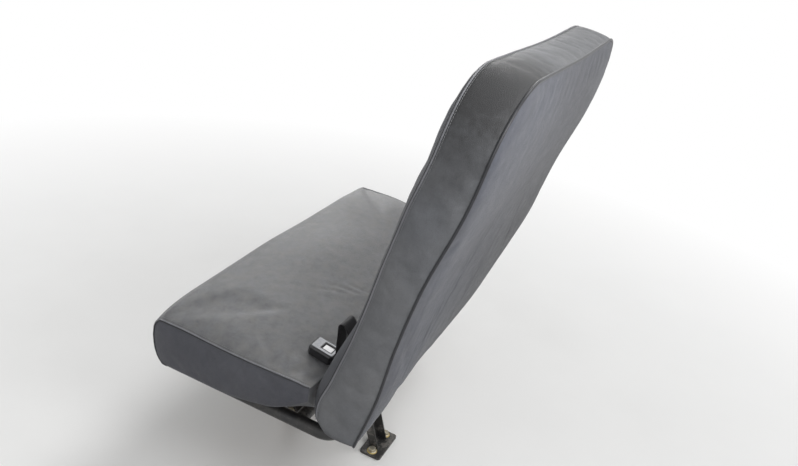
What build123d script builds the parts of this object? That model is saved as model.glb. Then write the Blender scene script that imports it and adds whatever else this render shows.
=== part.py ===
from build123d import *
import os
from math import cos, radians, sin

# A school bus passenger bench, 36 inches wide, held by one floor leg and two wall brackets.
# Millimetres. The seat faces -Y, +X is its aisle end and Z = 0 is the floor.
# The origin is the middle of the four floor bolts.

# Width of the bench and the wall that it is bolted to
AISLE_X = 376.0
BENCH_WIDTH = 914.0
WALL_END_X = AISLE_X - BENCH_WIDTH
WALL_X = -615.0

# Steel tube frame
TUBE_R = 14.0
TUBE_WALL = 2.1
TUBE_Z = 284.0
FRONT_TUBE_Y = -226.0
REAR_TUBE_Y = 60.0
AISLE_TUBE_X = 338.0
WALL_TUBE_X = -500.0
BEND_R = 50.0
CORNER_R = 52.0
SPLICE_Y = -150.0

# Uprights: their axis leans between these two (Y, Z) points and ends inside the back
UPRIGHT_LOW = (157.0, 329.0)
UPRIGHT_HIGH = (303.0, 985.0)
UPRIGHT_END_Z = 400.0

# Floor leg
BOLT_SPACING_X = 72.0
BOLT_SPACING_Y = 240.0
BOLT_HOLE_R = 5.5
FOOT_SIZE = (104.0, 56.0, 6.0)
FOOT_CORNER_R = 8.0
LEG_WIDTH = 48.0
LEG_DEPTH = 26.0
LEG_WALL = 2.6
LEG_LEAN = 0.384
RAIL_WIDTH = 38.0
RAIL_FRONT_Y = -238.0
RAIL_REAR_Y = 76.0
RAIL_LOW_Z = 246.0
RAIL_TOP_Z = 272.0
RAIL_WALL = 2.5
STRETCHER_R = 11.0
STRETCHER_Z = 55.0

# Wall brackets
BRACKET_WIDTH = 44.0
BRACKET_THICK = 5.0
BRACKET_BEND_R = 7.0
BRACKET_FRONT_Y = -150.0
BRACKET_REAR_Y = 75.0
BRACKET_TOP_Z = 334.0
BRACKET_BOLT_Z = 311.0

# Seat board, its hinge hooks and its rear clips
BOARD_LOW_Z = 301.0
BOARD_THICK = 12.0
BOARD_INSET = 10.0
BOARD_FRONT_Y = -250.0
BOARD_REAR_Y = 85.0
FITTING_X = (-300.0, 180.0)
FITTING_WIDTH = 32.0
FITTING_THICK = 2.5
HOOK_GAP = 0.4
HOOK_LIP = 8.0
HOOK_FLANGE = 34.0
CLIP_GAP = 0.8
CLIP_DROP = 6.0
CLIP_FLANGE = 12.0

# Cushion section, as (Y, Z) points
CUSHION_REAR_Y = 93.0
CUSHION_REAR_Z = 395.0
CUSHION_REAR_R = 8.0
CUSHION_HOLLOW = (0.0, 411.5)
CUSHION_CROWN = (-90.0, 423.0)
CUSHION_SWELL = (-180.0, 425.0)
CUSHION_BROW = (-256.0, 417.0)
CUSHION_NOSE = (-279.0, 407.0)
CUSHION_FRONT = (-286.0, 384.0)
CUSHION_CHIN = (-281.0, 336.0)
CUSHION_LIP = (-269.0, 311.0)
CUSHION_LIP_END = (-246.0, 301.0)

# Drawn-up lower rear corners of the cushion: their lower edge on the end face, as (Y, Z) points
DRAWN_EDGE = ((-90.0, 301.0), (16.0, 324.0), (93.0, 375.0))
DRAWN_WIDTH = 90.0
BOARD_CLIP_Y = -75.0

# Back section, as (Y, Z) points up its swollen front and rear faces
FRONT_FACE = (
    (100.0, 371.0), (116.0, 451.0), (143.0, 540.0), (180.0, 720.0), (226.0, 920.0), (251.0, 1040.0),
)
REAR_FACE = (
    (209.0, 316.0), (235.0, 431.0), (252.0, 560.0), (277.0, 688.0), (321.0, 844.0), (353.0, 1034.0),
)
BACK_TOP = (302.0, 1057.0)
BACK_CHIN = (109.0, 343.0)
BACK_KEEL = (145.0, 329.0)
BACK_SLANT = 7.6
BACK_AISLE_R = 125.0
BACK_WALL_R = 205.0

# Both faces of the back slope down to their seams by this much, over this width
SEAM_DROP = 8.0
SEAM_SLOPE = 18.0

# Lap belt buckle, lying on the rear of the cushion
BUCKLE_X = 265.0
BUCKLE_Y = 58.0
BUCKLE_Z = 404.6
BUCKLE_TILT = -9.5
BUCKLE_SIZE = (44.0, 56.0, 18.0)
COVER_SIZE = (34.0, 48.0, 1.8)
BUTTON_SIZE = (17.0, 21.0)
BUTTON_Y = 7.0
BUTTON_GAP = 1.5
BUTTON_SINK = 1.0
BUTTON_TRAVEL = 3.0
MOUTH_SIZE = (27.0, 36.0, 4.0)
SLOT_SIZE = (44.0, 8.0, 3.0)
WELL_DEPTH = 8.0
WEB_WIDTH = 42.0
WEB_THICK = 1.6
WEB_HEIGHT = 9.0
WEB_END_Y = 14.0
ANCHOR_SIZE = (60.0, 30.0, 3.0)


def side_face(*edges):
    """A face in the YZ plane, from edges drawn with (Y, Z) points."""
    return Plane.YZ * make_face(list(edges))


def across(face, low_x, high_x):
    """Extrude a YZ face from one X to another."""
    return Pos(low_x, 0, 0) * extrude(face, high_x - low_x)


def block(low, high):
    """A box between two opposite corners."""
    size = [high[i] - low[i] for i in range(3)]
    middle = [(high[i] + low[i]) / 2 for i in range(3)]
    return Pos(*middle) * Box(*size)


def pipe(path, hollow=True):
    """Round tube along a path of lines and arcs. One with no open end is filled."""
    section = Circle(TUBE_R)
    if hollow:
        section -= Circle(TUBE_R - TUBE_WALL)
    start = Plane(origin=path @ 0, z_dir=path % 0)
    return sweep(start * section, path=path)


def upright_point(x, z):
    """Point of an upright's axis at one height."""
    slope = (UPRIGHT_HIGH[0] - UPRIGHT_LOW[0]) / (UPRIGHT_HIGH[1] - UPRIGHT_LOW[1])
    return (x, UPRIGHT_LOW[0] + slope * (z - UPRIGHT_LOW[1]), z)


def front_path():
    corners = (
        (AISLE_TUBE_X, SPLICE_Y, TUBE_Z),
        (AISLE_TUBE_X, FRONT_TUBE_Y, TUBE_Z),
        (WALL_TUBE_X, FRONT_TUBE_Y, TUBE_Z),
        (WALL_TUBE_X, SPLICE_Y, TUBE_Z),
    )
    return FilletPolyline(*corners, radius=CORNER_R)


def rear_path():
    return Line((WALL_TUBE_X, REAR_TUBE_Y, TUBE_Z), (AISLE_TUBE_X, REAR_TUBE_Y, TUBE_Z))


def side_path(x):
    points = [(x, SPLICE_Y, TUBE_Z), upright_point(x, TUBE_Z), upright_point(x, UPRIGHT_END_Z)]
    return FilletPolyline(*points, radius=BEND_R)


def frame_tubes():
    """Front tube with both corners, side tubes that bend up into the back, and a coped rear tube."""
    aisle_rod = pipe(side_path(AISLE_TUBE_X), hollow=False)
    wall_rod = pipe(side_path(WALL_TUBE_X), hollow=False)
    return {
        "front_tube": pipe(front_path(), hollow=False),
        "aisle_side_tube": aisle_rod,
        "wall_side_tube": wall_rod,
        "rear_tube": pipe(rear_path()) - aisle_rod - wall_rod,
    }


def leg_centre_y(foot_y, z):
    """Both legs lean the same way: their tops are ahead of their feet."""
    return foot_y - LEG_LEAN * z


def leg(foot_y, hollow=True):
    """Leaning channel, open to the rear, between foot plate and leg rail."""
    low = FOOT_SIZE[2]
    section = Rectangle(LEG_WIDTH, LEG_DEPTH)
    section = fillet(section.vertices().sort_by(Axis.Y)[:2], 4.0)
    if hollow:
        inner_width = LEG_WIDTH - 2 * LEG_WALL
        section -= Pos(0, LEG_WALL) * Rectangle(inner_width, LEG_DEPTH)
    start = Pos(0, leg_centre_y(foot_y, low), low) * section
    height = RAIL_LOW_Z - low
    direction = Vector(0, -LEG_LEAN, 1)
    return extrude(start, height * direction.length, dir=direction.normalized())


def leg_rail():
    """Box section that joins the legs to both cross tubes."""
    half = RAIL_WIDTH / 2
    outer = block((-half, RAIL_FRONT_Y, RAIL_LOW_Z), (half, RAIL_REAR_Y, RAIL_TOP_Z))
    inner = block(
        (-half + RAIL_WALL, RAIL_FRONT_Y, RAIL_LOW_Z + RAIL_WALL),
        (half - RAIL_WALL, RAIL_REAR_Y, RAIL_TOP_Z - RAIL_WALL),
    )
    return outer - inner - pipe(front_path(), hollow=False) - pipe(rear_path(), hollow=False)


def leg_stretcher():
    """Low bar from the rear leg's web to the inside of the front leg's web."""
    half = BOLT_SPACING_Y / 2
    front_web = leg_centre_y(-half, STRETCHER_Z) - LEG_DEPTH / 2
    rear_web = leg_centre_y(half, STRETCHER_Z) - LEG_DEPTH / 2 + LEG_WALL
    place = Pos(0, (front_web + rear_web) / 2, STRETCHER_Z) * Rot(90, 0, 0)
    bar = place * Cylinder(STRETCHER_R, rear_web - front_web)
    pieces = bar - leg(-half) - leg(half, hollow=False)
    return pieces.solids().sort_by(SortBy.VOLUME)[-1]


def foot_plate(y):
    """Flat foot with a bolt hole on each side of the leg."""
    width, length, thick = FOOT_SIZE
    plate = Rectangle(width, length)
    plate = fillet(plate.vertices(), FOOT_CORNER_R)
    for side in (-1, 1):
        plate -= Pos(side * BOLT_SPACING_X / 2, 0) * Circle(BOLT_HOLE_R)
    return Pos(0, y, 0) * extrude(plate, thick)


def wall_bracket(y):
    """Bent strap under the wall side tube, turned up against the wall."""
    low = TUBE_Z - TUBE_R - BRACKET_THICK + 1.0
    inner_x = WALL_TUBE_X + TUBE_R
    half = BRACKET_WIDTH / 2
    tray = block((WALL_X, y - half, low), (inner_x, y + half, low + BRACKET_THICK))
    riser = block((WALL_X, y - half, low), (WALL_X + BRACKET_THICK, y + half, BRACKET_TOP_Z))
    strap = tray + riser
    bend = strap.edges().filter_by(Axis.Y)
    outer_bend = bend.filter_by_position(Axis.X, WALL_X - 1, WALL_X + 1).sort_by(Axis.Z)[0]
    strap = fillet(outer_bend, BRACKET_BEND_R)
    hole = Pos(WALL_X, y, BRACKET_BOLT_Z) * Rot(0, 90, 0) * Cylinder(BOLT_HOLE_R, 4 * BRACKET_THICK)
    bracket = strap - hole
    for path in (front_path(), side_path(WALL_TUBE_X), rear_path()):
        bracket -= pipe(path, hollow=False)
    return bracket


def seat_board():
    """Plywood under the cushion, its rear corners clipped where the cover is drawn up."""
    low_x = WALL_END_X + BOARD_INSET
    high_x = AISLE_X - BOARD_INSET
    outline = Polyline(
        (low_x, BOARD_FRONT_Y),
        (high_x, BOARD_FRONT_Y),
        (high_x, BOARD_CLIP_Y),
        (high_x - DRAWN_WIDTH, BOARD_REAR_Y),
        (low_x + DRAWN_WIDTH, BOARD_REAR_Y),
        (low_x, BOARD_CLIP_Y),
        close=True,
    )
    return Pos(0, 0, BOARD_LOW_Z) * extrude(make_face(outline), BOARD_THICK)


def hinge_hook(x):
    """Hook screwed under the board, round the front tube."""
    thick = FITTING_THICK
    inner = TUBE_R + HOOK_GAP
    outer = inner + thick
    rise = BOARD_LOW_Z - TUBE_Z
    ring = Circle(outer) - Circle(inner)
    ring &= Pos(0, -outer) * Rectangle(4 * outer, 2 * outer)
    rear_wall = Pos(inner + thick / 2, rise / 2) * Rectangle(thick, rise)
    lip = Pos(-inner - thick / 2, HOOK_LIP / 2) * Rectangle(thick, HOOK_LIP)
    flange = Pos(inner + HOOK_FLANGE / 2, rise - thick / 2) * Rectangle(HOOK_FLANGE, thick)
    section = Plane.YZ * (Pos(FRONT_TUBE_Y, TUBE_Z) * (ring + rear_wall + lip + flange))
    return across(section, x - FITTING_WIDTH / 2, x + FITTING_WIDTH / 2)


def rear_clip(x):
    """Saddle under the board that drops over the rear tube."""
    thick = FITTING_THICK
    inner = TUBE_R + CLIP_GAP
    rise = BOARD_LOW_Z - TUBE_Z
    tall = rise + CLIP_DROP
    section = Pos(0, rise - thick / 2) * Rectangle(2 * (inner + thick + CLIP_FLANGE), thick)
    for side in (-1, 1):
        section += Pos(side * (inner + thick / 2), rise - tall / 2) * Rectangle(thick, tall)
    section = Plane.YZ * (Pos(REAR_TUBE_Y, TUBE_Z) * section)
    return across(section, x - FITTING_WIDTH / 2, x + FITTING_WIDTH / 2)


def cushion_pad():
    """Bench cushion, crowned on top and round at its front edge."""
    rear_top = (CUSHION_REAR_Y, CUSHION_REAR_Z)
    round_r = CUSHION_REAR_R
    rear_low = (CUSHION_REAR_Y - round_r, BOARD_LOW_Z)
    rear_mid = (CUSHION_REAR_Y - 0.293 * round_r, BOARD_LOW_Z + 0.293 * round_r)
    rear_high = (CUSHION_REAR_Y, BOARD_LOW_Z + round_r)
    outline = side_face(
        ThreePointArc(rear_top, CUSHION_HOLLOW, CUSHION_CROWN),
        ThreePointArc(CUSHION_CROWN, CUSHION_SWELL, CUSHION_BROW),
        ThreePointArc(CUSHION_BROW, CUSHION_NOSE, CUSHION_FRONT),
        Line(CUSHION_FRONT, CUSHION_CHIN),
        ThreePointArc(CUSHION_CHIN, CUSHION_LIP, CUSHION_LIP_END),
        Line(CUSHION_LIP_END, rear_low),
        ThreePointArc(rear_low, rear_mid, rear_high),
        Line(rear_high, rear_top),
    )
    pad = across(outline, WALL_END_X, AISLE_X) - seat_board()
    return pad - drawn_corner(AISLE_X, -1) - drawn_corner(WALL_END_X, 1)


def drawn_corner(end_x, inward):
    """What the drawn-up cover leaves free: a curved wedge that runs out at the cushion's underside."""
    front, middle, rear = DRAWN_EDGE
    rise = rear[1] - front[1]
    deep = front[1] - 2 * rise
    edge = side_face(
        ThreePointArc(front, middle, rear),
        Line(rear, (rear[0] + 5.0, rear[1])),
        Line((rear[0] + 5.0, rear[1]), (rear[0] + 5.0, deep)),
        Line((rear[0] + 5.0, deep), (front[0], deep)),
        Line((front[0], deep), front),
    )
    slope = Vector(inward * DRAWN_WIDTH, 0, -rise)
    return Pos(end_x, 0, 0) * extrude(edge, slope.length, dir=slope.normalized())


def back_cushion():
    """Leaning padded back: a round corner each side at the top, larger by the wall."""
    outline = side_face(
        Spline(*FRONT_FACE),
        ThreePointArc(FRONT_FACE[-1], BACK_TOP, REAR_FACE[-1]),
        Spline(*REAR_FACE),
        Line(REAR_FACE[0], BACK_KEEL),
        Line(BACK_KEEL, BACK_CHIN),
        Line(BACK_CHIN, FRONT_FACE[0]),
    )
    slab = across(outline, WALL_END_X, AISLE_X)
    slant = radians(BACK_SLANT)
    view = Plane(origin=(0, BACK_TOP[0], BACK_TOP[1]), x_dir=(1, 0, 0), z_dir=(0, -cos(slant), sin(slant)))
    panel = Pos((WALL_END_X + AISLE_X) / 2, -BENCH_WIDTH / 2) * Rectangle(BENCH_WIDTH, BENCH_WIDTH)
    top_corners = panel.vertices().sort_by(Axis.Y)[-2:].sort_by(Axis.X)
    panel = fillet(top_corners[0], BACK_WALL_R)
    panel = fillet(panel.vertices().sort_by(Axis.X)[-2:].sort_by(Axis.Y)[-1], BACK_AISLE_R)
    pad = slab & extrude(view * panel, BENCH_WIDTH, both=True)
    pad = sloped_to_seam(pad, 0, lowest=1)
    pad = sloped_to_seam(pad, -1, lowest=0)
    for x in (AISLE_TUBE_X, WALL_TUBE_X):
        pad -= pipe(side_path(x), hollow=False)
    return pad


def sloped_to_seam(pad, side, lowest):
    """Slope the rim of the front (0) or rear (-1) face, leaving out its lowest edges."""
    face = pad.faces().sort_by(SortBy.AREA)[-2:].sort_by(Axis.Y)[side]
    rim = face.edges().sort_by(Axis.Z)[lowest:]
    return chamfer(rim, SEAM_SLOPE, SEAM_DROP, reference=face)


def on_buckle(shape):
    """Place a shape drawn with the buckle's lower middle as origin."""
    return Pos(BUCKLE_X, BUCKLE_Y, BUCKLE_Z) * Rot(BUCKLE_TILT, 0, 0) * shape


def buckle_parts():
    """Plastic body with a mouth in front, metal cover and press button."""
    width, length, height = BUCKLE_SIZE
    body = Pos(0, 0, height / 2) * Box(width, length, height)
    body = chamfer(body.edges().filter_by(Axis.Z), 6.0)
    body = chamfer(body.faces().sort_by(Axis.Z)[-1].edges(), 2.0)
    mouth = Pos(0, -length / 2, height * 0.55) * Box(*MOUTH_SIZE)
    slot = Pos(0, length / 2, WEB_HEIGHT) * Box(*SLOT_SIZE)
    button_width, button_length = BUTTON_SIZE
    well_size = (button_width + 2 * BUTTON_GAP, button_length + 2 * BUTTON_GAP)
    well = Pos(0, BUTTON_Y, height - WELL_DEPTH / 2) * Box(*well_size, WELL_DEPTH)
    body = body - mouth - slot - well
    cover_width, cover_length, cover_thick = COVER_SIZE
    cover = Rectangle(cover_width, cover_length)
    cover = fillet(cover.vertices(), 3.0)
    cover -= Pos(0, BUTTON_Y) * Rectangle(*well_size)
    cover = Pos(0, 0, height) * extrude(cover, cover_thick)
    button_height = WELL_DEPTH - BUTTON_TRAVEL + cover_thick - BUTTON_SINK
    button_top = height + cover_thick - BUTTON_SINK
    button = Box(button_width, button_length, button_height)
    button = Pos(0, BUTTON_Y, button_top - button_height / 2) * button
    button = fillet(button.faces().sort_by(Axis.Z)[-1].edges(), 1.0)
    return {
        "buckle_body": on_buckle(body),
        "buckle_cover": on_buckle(cover),
        "buckle_button": on_buckle(button),
    }


def webbing():
    """Belt strap: from the buckle over the cushion's rear edge to its anchor under the board."""
    gap = WEB_THICK / 2 + 0.3
    buckle_end = on_buckle(Pos(0, BUCKLE_SIZE[1] / 2 - 3.6, WEB_HEIGHT)).position
    buckle_turn = on_buckle(Pos(0, BUCKLE_SIZE[1] / 2 + 8.0, WEB_HEIGHT)).position
    back_line = CUSHION_REAR_Y + gap
    under_line = BOARD_LOW_Z - WEB_THICK / 2
    corners = (
        ((WEB_END_Y, under_line), None),
        ((back_line, under_line), CUSHION_REAR_R),
        ((back_line, CUSHION_REAR_Z), 40.0),
        ((114.0, 488.0), 14.0),
        ((90.0, 516.0), 7.0),
        ((buckle_turn.Y, buckle_turn.Z), 5.0),
        ((buckle_end.Y, buckle_end.Z), None),
    )
    points = [(BUCKLE_X, y, z) for (y, z), radius in corners]
    radii = [radius for place, radius in corners[1:-1]]
    path = FilletPolyline(*points, radius=radii)
    section = Plane(origin=path @ 0, x_dir=(1, 0, 0), z_dir=path % 0) * Rectangle(WEB_WIDTH, WEB_THICK)
    return sweep(section, path=path)


def belt_anchor():
    """Plate that clamps the strap's end under the board, ahead of the rear tube."""
    width, length, thick = ANCHOR_SIZE
    plate = fillet(Rectangle(width, length).vertices(), 6.0)
    top = BOARD_LOW_Z - WEB_THICK
    return Pos(BUCKLE_X, WEB_END_Y + length / 2, top - thick) * extrude(plate, thick)


def build():
    half = BOLT_SPACING_Y / 2
    parts = frame_tubes()
    parts["front_leg"] = leg(-half)
    parts["rear_leg"] = leg(half)
    parts["leg_rail"] = leg_rail()
    parts["leg_stretcher"] = leg_stretcher()
    parts["front_foot_plate"] = foot_plate(-half)
    parts["rear_foot_plate"] = foot_plate(half)
    parts["front_wall_bracket"] = wall_bracket(BRACKET_FRONT_Y)
    parts["rear_wall_bracket"] = wall_bracket(BRACKET_REAR_Y)
    parts["back_cushion"] = back_cushion()
    parts["cushion_board"] = seat_board()
    parts["cushion_pad"] = cushion_pad()
    for name, x in zip(("wall", "aisle"), FITTING_X):
        parts[name + "_hinge_hook"] = hinge_hook(x)
        parts[name + "_rear_clip"] = rear_clip(x)
    parts.update(buckle_parts())
    parts["buckle_webbing"] = webbing()
    parts["belt_anchor_plate"] = belt_anchor()
    return parts


os.makedirs("parts", exist_ok=True)
for node, shape in build().items():
    export_step(shape, "parts/" + node + ".step")
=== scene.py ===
from math import cos, pi, radians, sin, tau

import bmesh
import bpy
import numpy as np
from mathutils import Matrix, Vector
from mathutils.bvhtree import BVHTree


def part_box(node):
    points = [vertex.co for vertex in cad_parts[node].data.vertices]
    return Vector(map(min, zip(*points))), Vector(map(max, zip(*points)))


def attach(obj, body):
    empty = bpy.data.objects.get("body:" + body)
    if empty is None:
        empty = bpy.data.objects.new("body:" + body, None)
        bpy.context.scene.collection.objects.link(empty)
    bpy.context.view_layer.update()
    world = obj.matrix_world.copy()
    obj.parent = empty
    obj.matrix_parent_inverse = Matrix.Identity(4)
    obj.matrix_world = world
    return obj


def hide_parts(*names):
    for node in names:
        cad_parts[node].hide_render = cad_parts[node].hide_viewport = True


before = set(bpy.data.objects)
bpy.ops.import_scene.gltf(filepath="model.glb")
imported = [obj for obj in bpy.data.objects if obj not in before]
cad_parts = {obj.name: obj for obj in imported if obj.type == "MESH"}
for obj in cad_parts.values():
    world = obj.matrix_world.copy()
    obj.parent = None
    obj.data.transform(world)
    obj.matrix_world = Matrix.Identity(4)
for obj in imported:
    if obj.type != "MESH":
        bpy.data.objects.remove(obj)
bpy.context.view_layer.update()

# A school bus bench seat, in metres. It faces -Y, +X is its aisle end and the floor is Z = 0.

# Camera: where the photograph was taken from, turned so that the whole bench is in view
CAMERA_PLACE = Vector((1.360, 0.5815, 1.280))
CAMERA_FORWARD = Vector((-0.474, -0.841, -0.262))
CAMERA_UP = Vector((-0.1861, -0.1949, 0.963))
CAMERA_AIM = Vector((-0.105, 0.03, 0.53))
CAMERA_LENS = 33.0

# Back: (Y, Z) points up its front seam and its rear seam
BACK_LOW, BACK_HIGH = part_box("back_cushion")
FRONT_SEAM = ((0.106, 0.343), (0.104, 0.371), (0.124, 0.451), (0.153, 0.540), (0.190, 0.720), (0.2108, 0.820),
              (0.2365, 0.920), (0.2485, 0.986), (0.259, 1.046))
REAR_SEAM = ((0.200, 0.318), (0.226, 0.433), (0.243, 0.561), (0.268, 0.690), (0.312, 0.846), (0.344, 1.036))
BACK_TOP = (0.300, 1.057)
BACK_SLANT = radians(7.6)
BACK_AISLE_R = 0.125
BACK_WALL_R = 0.205
SEAM_INSET = 0.004
FRONT_DROP = 0.012
REAR_DROP = 0.011
# Fullness of the panels, as (at the seam, over the middle)
FRONT_PUFF = (0.008, 0.004)
REAR_PUFF = (0.006, 0.003)
PUFF_EDGE = 0.042
PUFF_MIDDLE = 0.26
REAR_FIRM = 0.13
# The front seam lies behind the rolled front edge at both sides, and meets it at the top
FRONT_TUCK = 0.005
TUCK_HEIGHTS = (-0.015, -0.115)
TUCK_ROLL = 0.034
# More of it low down, as (depth, Z of its middle, half height)
LOW_TUCK = (0.007, 0.435, 0.085)
# Where the front gives way to the cushion and the belt strap: depth, from Z to Z, from side to side
LOW_HOLLOW = 0.006
HOLLOW_HEIGHTS = (0.455, 0.385)
HOLLOW_SIDES = (0.02, 0.08)
# How far the worn top sags, as (depth, X of its middle, half width and reach downwards)
TOP_SAG = (0.007, -0.100, 0.250)
# How far the rear panel's lower part is drawn forward, as (distance, X) points
DRAWN_IN = ((0.029, -0.538), (0.021, -0.400), (0.013, -0.200), (0.011, 0.0), (0.013, 0.100), (0.009, 0.200),
            (0.003, 0.300), (0.0, 0.376))
DRAWN_HEIGHTS = (0.57, 0.37)
# The band round the back: how far it swells at its sides and its top, and how evenly
BAND_SIDE_BULGE = 0.007
BAND_TOP_BULGE = 0.005
BAND_FULLNESS = 0.6
# Lowest place of the back's underside, as (share of the way from front to rear, drop)
CHIN = (0.30, 0.014)
# Cells across, up and round the band
BACK_CELLS = (87, 69, 14)
# Long folds in the rear panel, as (X, Z, tilt, length, depth)
BACK_FOLDS = (
    (0.14, 0.60, 0.55, 0.16, 0.0016),
    (-0.02, 0.52, 0.35, 0.13, 0.0013),
    (0.24, 0.47, 0.20, 0.12, 0.0012),
    (-0.24, 0.56, -0.40, 0.15, 0.0010),
)

# Cushion: (Y, Z) points along its crown and along the seam of its end panels
CUSHION_LOW, CUSHION_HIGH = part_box("cushion_pad")
CROWN = ((-0.262, 0.421), (-0.180, 0.425), (-0.090, 0.423), (0.0, 0.4105), (0.093, 0.395))
END_SEAM = ((-0.262, 0.4045), (-0.200, 0.405), (-0.119, 0.402), (-0.040, 0.4015), (0.050, 0.404), (0.093, 0.4055))
END_NOSE = ((-0.240, 0.3005), (-0.256, 0.304), (-0.267, 0.318), (-0.273, 0.336), (-0.277, 0.360),
            (-0.2765, 0.381), (-0.272, 0.396), (-0.262, 0.4045))
MID_NOSE = ((-0.246, 0.3005), (-0.264, 0.305), (-0.277, 0.318), (-0.286, 0.338), (-0.292, 0.362),
            (-0.291, 0.386), (-0.283, 0.406), (-0.262, 0.421))
DRAWN_EDGE = ((-0.160, 0.3005), (-0.090, 0.302), (-0.020, 0.3145), (0.016, 0.324), (0.054, 0.345), (0.093, 0.377))
DRAWN_WIDTH = 0.090
BOARD_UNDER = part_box("cushion_board")[0].z
CROWN_ROLL = 0.14
# Extra fullness of the cushion's front, as (share, X) points: full by the wall, flattened by use at the aisle
FRONT_SWELL = ((1.05, -0.538), (0.92, -0.450), (0.88, -0.370), (0.88, -0.200), (1.0, -0.060), (0.79, 0.080),
               (0.45, 0.250), (0.20, 0.330), (0.0, 0.376))
SWELL_UP = 0.010
SWELL_FORWARD = 0.014
SWELL_PLACES = (-0.02, -0.18)
# Fullness of the end panels, and the width over which it is reached
END_PUFF = 0.0055
END_ROLL = 0.032
CUSHION_INSET = 0.002
CUSHION_REAR_INSET = 0.0008
WRAP = 0.030
VINYL = 0.0012
CELL = 0.009
CELL_GROWTH = 1.45
NOSE_CELLS = 18
# Hollows where people sit, as (X of each, Y, half width, half length, depth)
SEAT_HOLLOWS = ((-0.30, 0.10), -0.08, 0.16, 0.13, 0.0035)
# Creases in the top, as (X, Y, tilt, length, depth)
CUSHION_FOLDS = (
    (0.030, -0.024, 0.35, 0.042, 0.0014),
    (0.062, -0.046, 0.62, 0.030, 0.0010),
    (0.006, -0.004, 0.12, 0.030, 0.0011),
    (0.345, -0.012, -0.98, 0.026, 0.0019),
    (0.322, -0.040, -0.80, 0.024, 0.0014),
    (0.327, 0.017, -1.20, 0.024, 0.0015),
    (0.316, -0.084, -1.05, 0.020, 0.0011),
    (0.250, -0.060, -1.25, 0.022, 0.0009),
    (0.120, 0.050, 1.35, 0.045, 0.0015),
    (-0.340, 0.030, 1.60, 0.055, 0.0014),
    (-0.250, 0.045, 1.30, 0.040, 0.0012),
)

# Seams: the hem in section is two small folds that meet in a groove, as (across, up) points
HEM = ((-0.0030, -0.0006), (-0.0022, 0.0006), (-0.0012, 0.0008), (-0.0004, -0.0002), (0.0, -0.0010),
       (0.0005, 0.0006), (0.0014, 0.0021), (0.0026, 0.0022), (0.0036, 0.0012), (0.0042, -0.0006))
# A thin dark tube in the groove beside the hem is a painted shadow: its place as (across, up), and its radius
SHADOW_LINE_PLACE = (-0.0026, 0.0002)
SHADOW_LINE_R = 0.0016
# The rear piping's radius, widened to take in its painted shadow
PIPING_R = 0.0028

# Buckle: lower middle of its body, how far it leans, and its button's corners
BUCKLE_PLACE = Vector((0.265, 0.058, 0.4046))
BUCKLE_TILT = radians(-9.5)
BUTTON_LOW = (-0.0085, -0.0035)
BUTTON_HIGH = (0.0085, 0.0175)
# A black rim round the button is a painted shadow of the gap round its recess. Its section, as (outwards on its
# far sides, on its near sides, height, corner radius)
BUTTON_SHADOW_RIM = ((0.0050, 0.0022, 0.0194, 0.0030), (0.0046, 0.0019, 0.0202, 0.0028),
         (0.0009, 0.0008, 0.0202, 0.0022), (0.0004, 0.0004, 0.0178, 0.0020))
# Strap: ((Y, Z), bend radius) from its anchor, up behind the cushion, over a folded hump to the buckle's rear slot
STRAP_CORNERS = (
    ((0.014, 0.3002), 0), ((0.0941, 0.3002), 0.008), ((0.0941, 0.395), 0.040), ((0.114, 0.488), 0.014),
    ((0.090, 0.516), 0.007), ((0.0950, 0.4075), 0.005), ((0.0836, 0.4095), 0),
)
STRAP_THICK = 0.0013

# Fasteners and welds, placed as in the solids
FOOT_BOLTS = tuple((x, y) for y in (-0.120, 0.120) for x in (-0.036, 0.036))
WALL_BOLTS = ((-0.150, 0.311), (0.075, 0.311))
BRACKET_THICK = 0.005
FITTING_THICK = 0.0025
FEET_Y = (-0.120, 0.120)
LEG_LEAN = 0.384
LEG_HALF = (0.024, 0.013)
# The ends of the legs, as (Z, which way the bead lies off it)
LEG_ENDS = ((0.006, 1), (0.246, -1))
TUBES = ((-0.226, 0.284), (0.060, 0.284))
TUBE_BEAD_R = 0.0148
STAPLE_PITCH = 0.032
# A staple's wire, as (along, how far it stands off the cover) points
STAPLE = ((-0.0055, -0.0008), (-0.005, 0.0004), (0.005, 0.0004), (0.0055, -0.0008))

# Simulation: cover pressure, frames, stiffness, and (how far a point may move, how much the cover grows)
PRESSURE = 4.0
FRAMES = 20
STRETCH_STIFFNESS = 120.0
SHEAR_STIFFNESS = 60.0
BEND_STIFFNESS = 1.5
BACK_GIVE = (0.003, 0.005)
CUSHION_GIVE = (0.004, 0.004)

# Light: (name, place that it shines from, strength, width in degrees)
WORLD_LEVEL = 0.26
SUNS = (
    ("window_sun", (-1.6, 0.9, 3.0), 1.05, 24.0),
    ("ceiling_sun", (0.9, 0.9, 3.0), 0.45, 60.0),
    ("far_sun", (-1.41, -0.68, 0.90), 0.70, 22.0),
    ("near_sun", (2.0, 0.8, 0.8), 0.95, 40.0),
    ("front_sun", (-0.8, -2.0, 1.4), 0.40, 60.0),
)
# The panel that shades the faces from one side to the other: place, aim, size and power
PANEL = ((0.58, 0.95, 1.30), (0.22, 0.32, 0.86), (0.6, 0.3), 5.4)
LIT_MIDDLE = (-0.08, 0.05, 0.45)
# How much light the floor sends back, so that the lower faces stay in shade
FLOOR_BOUNCE = 0.25
# The floor turns to plain white between these distances
FLOOR_FADE = (0.9, 2.4)

rng = np.random.default_rng(7)


# Curves and grids

def smooth_curve(points, at):
    """Values of a smooth curve through (value, station) points, at given stations."""
    value, station = np.array(points, dtype=float).T
    slope = np.gradient(value, station)
    at = np.asarray(at, dtype=float)
    i = np.clip(np.searchsorted(station, at) - 1, 0, len(station) - 2)
    step = station[i + 1] - station[i]
    s = (at - station[i]) / step
    low = (1 + 2 * s) * (1 - s) ** 2 * value[i] + s * (1 - s) ** 2 * step * slope[i]
    high = s * s * (3 - 2 * s) * value[i + 1] + s * s * (s - 1) * step * slope[i + 1]
    return low + high


def height_along(points, y):
    """Z of the smooth curve through (Y, Z) points, at given Y."""
    return smooth_curve([(z, station) for station, z in points], y)


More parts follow.
